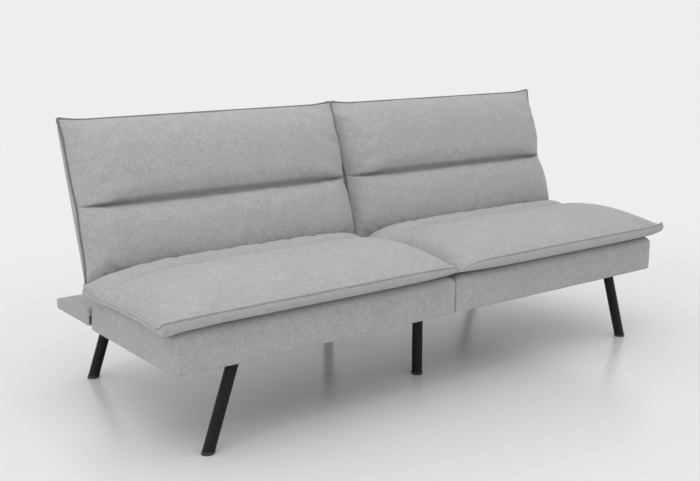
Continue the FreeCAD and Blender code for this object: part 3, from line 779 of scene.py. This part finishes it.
def make_back_cushion(name, side):
    """One back cushion, shaped lying flat, blown out a little and turned up, with its piping."""
    back = settings()[2]
    crown = back.crown / MM - 3.0
    inner, outer = 1.4, 904.0
    bottom_u, top_u = BACK_RISE
    inner_waist, high_ear, low_ear, peak = 5.0, 8.0, 12.0, 9.0
    # The upper band's lower edge hangs over the channel, which is shallower at its ends
    overlap, end_filling = 5.0, 0.38
    least_edge = 1.5

    def place(a, b, c):
        from_end = min(a, 1 - a) * (outer - inner)
        full = 1 - fall(from_end, 82.0) ** 1.9
        drawn = bell(b, TUFT, 0.10)
        x_in = inner + inner_waist * drawn
        x_out = (outer - WAIST[name] * drawn + high_ear * rise(b, 0.86, 0.14) ** 2
                 + low_ear * fall(b, 0.24) ** 2)
        x = x_in + (x_out - x_in) * a
        top = top_u + peak * fall(from_end, 75.0) ** 1.6
        lip = overlap * bell(b, TUFT + 0.016, 0.011) if b > TUFT else 0.0
        u = bottom_u + (top - bottom_u) * b - lip * full
        height = through(BACK_SHAPE, b) * crown
        height += bell(b, TUFT, 0.02) * fall(from_end, 55.0) * crown * end_filling
        return Vector((x, u, PANEL_FRONT + 1.0 + (height * full + least_edge) * c)) * MM

    lines = back_lines()
    across = edge_lines(1.0, 0.03, 0.0098, 5)
    piece, index, counts = lattice("cushion_of_back_" + name, across, lines, even(2), place)
    nx, ny, nz = counts
    pinned = {}
    for (i, j, k), number in index.items():
        rim = i in (0, nx) or j in (0, ny)
        if k == 0 or rim or lines[j] == TUFT:
            pinned[number] = 1.0
    inflate(piece, pinned, back.swell, 0.015)
    mesh = piece.data
    settle_front(mesh, PANEL_FRONT * MM, back.crown)
    rumple_back(mesh, index, counts, side, across, lines)
    seam = [mesh.vertices[index[key]].co.copy() for key in rim_keys(nx, ny, 0)]
    for vertex in mesh.vertices:
        vertex.co = mirrored(raised(vertex.co), side)
    outward(piece)
    apply_modifier(piece, "SUBSURF", levels=1, render_levels=1)
    smooth(piece)
    body = "back_" + name
    finish_piece(piece, body, "back_cloth", ["back_cushion_" + name])
    line = [mirrored(raised(place), side) for place in seam[::2]]
    roll = tube_along("piping_of_back_" + name, line, back.piping, True)
    finish_piece(roll, body, "piping")


def settle_front(mesh, ground, crown):
    """Scale the heights in front of the piping so that the crown is as full as photographed."""
    top = max(vertex.co.z for vertex in mesh.vertices) - ground
    for vertex in mesh.vertices:
        height = vertex.co.z - ground
        if height > 0.03:
            share = (height - 0.03) / (top - 0.03)
            vertex.co.z = ground + 0.03 + share * (crown - 0.03)


def rumple_back(mesh, index, counts, side, across, lines):
    """Soft unevenness of the stuffing, and small folds that run into the channel and the corners."""
    nx, ny, nz = counts
    normals = {number: mesh.vertices[number].normal.copy() for number in index.values()}
    for (i, j, k), number in index.items():
        if k != nz:
            continue
        vertex = mesh.vertices[number]
        a, b = across[i], lines[j]
        fold = noise.noise(Vector((a * 40.0 + b * 4.0, b * 2.0, side * 5.5)))
        near_tuft = bell(b, TUFT, 0.05)
        near_rim = bell(min(b, 1 - b), 0.0, 0.05)
        rumple = noise.noise(Vector((a * 7.0, b * 4.0, side * 17.0))) * 2.0
        fade = min(1.0, 14 * a, 14 * (1 - a))
        vertex.co += normals[number] * ((fold * (1.0 * near_tuft + 1.0 * near_rim) + rumple) * fade * MM)


class SOFA_OT_back_panels(bpy.types.Operator):
    """The thin upholstered panels behind the back cushions"""
    bl_idname = "sofa.back_panels"
    bl_label = "Back panels"

    def execute(self, context):
        for name, side in SIDES.items():
            make_back_panel(name, side)
        return {"FINISHED"}


def rounded_place(low, high, corners, top, bottom):
    """place(a, b, c) for a box with rounded edges.

    corners holds the radius of the upright edges at the low and the high end of X.
    """
    centre = (low + high) / 2
    half = (high - low) / 2

    def place(a, b, c):
        x = low.x + (high.x - low.x) * a
        y = low.y + (high.y - low.y) * b
        z = low.z + (high.z - low.z) * c
        radius = top if c > 0.5 else bottom
        inset = min(half.x - abs(x - centre.x), half.y - abs(y - centre.y))
        depth = min(high.z - z, z - low.z)
        if inset < radius and depth < radius:
            out, up = round_off(radius - inset, radius - depth)
            shrink = inset - (radius - out)
            x += (x - centre.x) / (half.x - inset) * shrink
            y += (y - centre.y) / (half.y - inset) * shrink
            z = high.z - radius + up if c > 0.5 else low.z + radius - up
            inset = radius - out
        corner = min(corners[0] if x < centre.x else corners[1], half.x - inset, half.y - inset)
        reach = Vector((half.x - inset - corner, half.y - inset - corner))
        away = Vector((x - centre.x, y - centre.y))
        over = Vector([math.copysign(max(0.0, abs(d) - r), d) for d, r in zip(away, reach)])
        turned = round_off(*over)
        return Vector((x + turned[0] - over.x, y + turned[1] - over.y, z))

    return place


def round_off(p, q):
    """Move a point of a square corner onto the circle in it."""
    length = math.hypot(p, q)
    if length == 0.0:
        return p, q
    share = max(abs(p), abs(q)) / length
    return p * share, q * share


def edge_lines(length, edge, step, fine=6):
    """Shares of grid lines along a side: closer together within its two rounded ends."""
    middle = max(1, round((length - 2 * edge) / step))
    low = [edge / length * i / fine for i in range(fine)]
    between = [(edge + (length - 2 * edge) * i / middle) / length for i in range(middle + 1)]
    return low + between + [1.0 - share for share in reversed(low)]


def wadded_block(name, low, high, corners, top, bottom, warp, amount, seed):
    """Closed block with rounded edges and the slight unevenness of cloth over wadding, in millimetres."""
    edge = max(top, bottom)
    size = high - low
    rounded = rounded_place(low, high, corners, top, bottom)

    def place(a, b, c):
        return warp(rounded(a, b, c)) * MM

    piece, index, counts = lattice(name, edge_lines(size.x, edge, 11.0), edge_lines(size.y, edge, 11.0),
                                   edge_lines(size.z, min(edge, size.z * 0.4), 10.0), place)
    offset = Vector((seed * 3.7, seed * 1.9, seed * 5.1))
    places = []
    for vertex in piece.data.vertices:
        swell = noise.noise(vertex.co * 8.0 + offset) + 0.5 * noise.noise(vertex.co * 24.0 - offset)
        places.append(vertex.co + vertex.normal * (swell * amount * MM))
    for vertex, moved in zip(piece.data.vertices, places):
        vertex.co = moved
    return piece


def make_back_panel(name, side):
    """A thin panel with a flat front, worked out lying flat behind the hinge pin."""
    low = Vector((1.0, 40.0, 30.0))
    high = Vector((905.0, BACK_RISE[1], PANEL_FRONT - 1.0))
    piece = wadded_block("panel_of_back_" + name, low, high, (10.0, 14.0), 2.0, 9.0,
                         lambda place: place, 0.5, 4.0 + side)
    for vertex in piece.data.vertices:
        vertex.co = mirrored(raised(vertex.co), side)
    outward(piece)
    smooth(piece)
    finish_piece(piece, "back_" + name, "back_cloth", ["back_cover_" + name])


# Seat boxes and ledges

def right_box(node):
    """A node's corners on the right half, in millimetres."""
    low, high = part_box(node)
    ends = sorted((abs(low.x), abs(high.x)))
    return Vector((ends[0], low.y, low.z)) / MM, Vector((ends[1], high.y, high.z)) / MM


class SOFA_OT_seat_boxes(bpy.types.Operator):
    """The two upholstered seat boxes, open underneath inside their hem"""
    bl_idname = "sofa.seat_boxes"
    bl_label = "Seat boxes"

    def execute(self, context):
        for name, side in SIDES.items():
            make_seat_box(name, side)
            make_dust_cover(name, side)
        return {"FINISHED"}


def make_seat_box(name, side):
    """The cloth round one seat box, with its rear top edge drawn forward."""
    low, high = right_box("seat_box_cover_" + name)
    low += Vector((0.3, 0.9, 0.0))
    high -= Vector((0.9, 0.3, 0.9))
    slant = 25.0

    def warp(place):
        share = (place.z - low.z) / (high.z - low.z)
        rear = max(0.0, (place.y - (high.y - 60.0)) / 60.0)
        return place - Vector((0.0, slant * share * min(1.0, rear), 0.0))

    piece = wadded_block("seat_box_" + name, low, high, (8.0, 22.0), 21.0, 7.0, warp, 0.9, 9.0 + side)
    open_underneath(piece, low * MM, high * MM, 74 * MM)
    for vertex in piece.data.vertices:
        vertex.co = mirrored(vertex.co, side)
    outward(piece)
    apply_modifier(piece, "SOLIDIFY", thickness=2.2 * MM, offset=-1.0)
    smooth(piece)
    finish_piece(piece, "base", "cloth", ["seat_box_cover_" + name])


def open_underneath(piece, low, high, hem):
    """Take out the faces of the underside inside the hem."""
    shell = bmesh.new()
    shell.from_mesh(piece.data)
    inside = []
    for face in shell.faces:
        middle = face.calc_center_median()
        if (middle.z < low.z + 4 * MM and low.x + hem < middle.x < high.x - hem
                and low.y + hem < middle.y < high.y - hem):
            inside.append(face)
    bmesh.ops.delete(shell, geom=inside, context="FACES")
    shell.to_mesh(piece.data)
    shell.free()


def make_dust_cover(name, side):
    """Black cloth that closes the underside of a seat box, stapled on its hem."""
    low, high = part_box("dust_cover_" + name)
    size = high - low
    deselect()
    bpy.ops.mesh.primitive_grid_add(x_subdivisions=80, y_subdivisions=36, size=1.0,
                                    location=((low.x + high.x) / 2, (low.y + high.y) / 2, low.z + 0.6 * MM))
    cloth = bpy.context.object
    cloth.name = "dust_cloth_" + name
    cloth.scale = (size.x, size.y, 1.0)
    apply_place(cloth)
    middle = (low + high) / 2
    for vertex in cloth.data.vertices:
        away = max(abs(vertex.co.x - middle.x) / size.x, abs(vertex.co.y - middle.y) / size.y) * 2
        wave = noise.noise(vertex.co * 7.0 + Vector((side * 4.0, 0.0, 0.0)))
        vertex.co.z += (wave * 0.8 - 0.3) * MM * max(0.0, 1.0 - away ** 6)
    smooth(cloth)
    finish_piece(cloth, "base", "lining", ["dust_cover_" + name])


class SOFA_OT_ledges(bpy.types.Operator):
    """The low upholstered ledges behind the seat boxes"""
    bl_idname = "sofa.ledges"
    bl_label = "Ledges"

    def execute(self, context):
        for name, side in SIDES.items():
            make_ledge(name, side)
        return {"FINISHED"}


def make_ledge(name, side):
    """One ledge, whose top falls towards the rear."""
    low, high = right_box("ledge_cover_" + name)
    low.x += 0.3
    high -= Vector((0.5, 0.5, 0.4))
    fall = 18.6
    rear_radius = 12.0

    def warp(place):
        height = high.z - low.z
        top = height - fall * (place.y - low.y) / (high.y - low.y)
        place.z = low.z + (place.z - low.z) * top / height
        inset = high.y - place.y
        depth = min(place.z - low.z, low.z + top - place.z)
        if inset < rear_radius and depth < rear_radius:
            out, up = round_off(rear_radius - inset, rear_radius - depth)
            upper = place.z - low.z > top / 2
            place.y = high.y - rear_radius + out
            place.z = low.z + top - rear_radius + up if upper else low.z + rear_radius - up
        return place

    piece = wadded_block("ledge_" + name, low, high, (5.0, 8.0), 5.0, 4.5, warp, 0.6, 15.0 + side)
    for vertex in piece.data.vertices:
        vertex.co = mirrored(vertex.co, side)
    outward(piece)
    smooth(piece)
    finish_piece(piece, "base", "cloth", ["ledge_cover_" + name])


# Steel, timber and linings that stay as they are

CARRIED_OVER = {
    "leg_paint": ["front_leg_left", "front_leg_right", "rear_leg_left", "rear_leg_right",
                  "centre_leg_front", "centre_leg_rear"],
    "foot": ["foot_cap_front_left", "foot_cap_front_right", "foot_cap_rear_left", "foot_cap_rear_right",
             "foot_cap_centre_front", "foot_cap_centre_rear"],
    "zinc": ["leg_screws", "connector_bolts", "pivot_pins", "latch_left", "latch_right"],
    "plywood": ["seat_deck_left", "seat_deck_right", "back_board_left", "back_board_right",
                "ledge_board_left", "ledge_board_right"],
    "foam": ["seat_foam_left", "seat_foam_right"],
    "lining": ["dust_cover_left", "dust_cover_right"],
}


class SOFA_OT_frame_finishes(bpy.types.Operator):
    """Paint, plating, timber and lining on the pieces under the upholstery"""
    bl_idname = "sofa.frame_finishes"
    bl_label = "Frame finishes"

    def execute(self, context):
        finish = {node: key for key, nodes in CARRIED_OVER.items() for node in nodes}
        for name, piece in frame["nodes"].items():
            material = MATERIALS[finish.get(name, "frame_paint")]
            piece.data.materials.clear()
            piece.data.materials.append(material)
        return {"FINISHED"}


# Stage

class SOFA_OT_stage(bpy.types.Operator):
    """Pale floor and backdrop, soft light, and the camera of the photograph"""
    bl_idname = "sofa.stage"
    bl_label = "Stage"

    def execute(self, context):
        make_floor()
        make_lights()
        make_camera()
        return {"FINISHED"}


def make_floor():
    """A pale floor that keeps the shadow and turns into the backdrop further off."""
    stage = settings()[3]
    deselect()
    bpy.ops.mesh.primitive_plane_add(size=400.0, location=(0, 0, 0))
    floor = bpy.context.object
    floor.name = "floor"
    graph = Graph("pale_floor")
    tone = tuple(stage.floor)
    patches = graph.noise(graph.place(), 0.8, detail=2.0)
    graph.set(Base_Color=graph.mix(patches, tone, tuple(c * 0.97 for c in tone)))
    graph.shader.inputs["Roughness"].default_value = 0.22
    graph.shader.inputs["Specular IOR Level"].default_value = 0.4
    away = graph.node("ShaderNodeVectorMath", {"operation": "LENGTH"},
                      {0: graph.place(scale=(0.62, 0.80, 1.0))}, "Value")
    backdrop = graph.node("ShaderNodeEmission", {}, {"Color": (*stage.wall, 1.0), "Strength": 1.0})
    lit = Socket(graph, graph.shader.outputs[0])
    graph.finish("Material", away.step(0.42, 1.75) * graph.seen(), lit, backdrop)
    floor.data.materials.append(graph.material)


def make_lights():
    """An even white room, a wide lamp overhead and a weak one at the left."""
    stage = settings()[3]
    room = Graph("room", "worlds")
    bpy.context.scene.world = room.material
    light = room.node("ShaderNodeBackground", {}, {"Color": (1.0, 1.0, 1.0, 1.0), "Strength": stage.light})
    wall = room.node("ShaderNodeBackground", {}, {"Color": (*stage.wall, 1.0), "Strength": 1.0})
    room.finish("World", room.seen(), light, wall)
    lamps = [("ceiling_light", (-1.0, -0.9, 3.6), 3.6, stage.key),
             ("window_light", (-4.4, -1.2, 1.8), 2.2, stage.key * 0.3)]
    for name, place, size, power in lamps:
        data = bpy.data.lights.new(name, "AREA")
        data.size = size
        data.energy = power
        lamp = bpy.data.objects.new(name, data)
        bpy.context.scene.collection.objects.link(lamp)
        lamp.location = place
        lamp.rotation_euler = (Vector((0, 0, 0.35)) - Vector(place)).to_track_quat("-Z", "Y").to_euler()


def make_camera():
    """The photograph's camera, found from the sofa bed's edges in it."""
    place = (-1.9528, -2.4398, 1.0595)
    focal_length, down, tilt, round_right = 52.703, 12.255, 0.098, 37.156
    data = bpy.data.cameras.new("camera")
    data.sensor_width = 36.0
    data.lens = focal_length
    camera = bpy.data.objects.new("camera", data)
    bpy.context.scene.collection.objects.link(camera)
    camera.location = place
    camera.rotation_euler = [math.radians(angle) for angle in (90.0 - down, tilt, -round_right)]
    bpy.context.scene.camera = camera


STEPS = [SOFA_OT_frame_finishes, SOFA_OT_seat_boxes, SOFA_OT_ledges, SOFA_OT_back_panels,
         SOFA_OT_seat_cushions, SOFA_OT_back_cushions, SOFA_OT_stage]


class SOFA_PT_panel(bpy.types.Panel):
    """Steps and settings of the sofa bed"""
    bl_idname = "SOFA_PT_panel"
    bl_label = "Sofa bed"
    bl_space_type = "VIEW_3D"
    bl_region_type = "UI"
    bl_category = "Sofa bed"

    def draw(self, context):
        for group in settings():
            box = self.layout.box()
            for key in group.__annotations__:
                box.prop(group, key)
        for step in STEPS:
            self.layout.operator(step.bl_idname)


GROUPS = {"sofa_fabric": FabricSettings, "sofa_seat": SeatSettings, "sofa_back": BackSettings,
          "sofa_stage": StageSettings}


def register():
    for group in GROUPS.values():
        bpy.utils.register_class(group)
    for name, group in GROUPS.items():
        setattr(bpy.types.Scene, name, PointerProperty(type=group))
    for step in STEPS:
        bpy.utils.register_class(step)
    bpy.utils.register_class(SOFA_PT_panel)


def unregister():
    bpy.utils.unregister_class(SOFA_PT_panel)
    for step in reversed(STEPS):
        bpy.utils.unregister_class(step)
    for name, group in GROUPS.items():
        delattr(bpy.types.Scene, name)
        bpy.utils.unregister_class(group)


def main():
    """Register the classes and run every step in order."""
    register()
    bpy.context.scene.view_settings.view_transform = "Standard"
    make_materials()
    for step in STEPS:
        group, name = step.bl_idname.split(".")
        getattr(getattr(bpy.ops, group), name)()


if __name__ == "__main__":
    main()
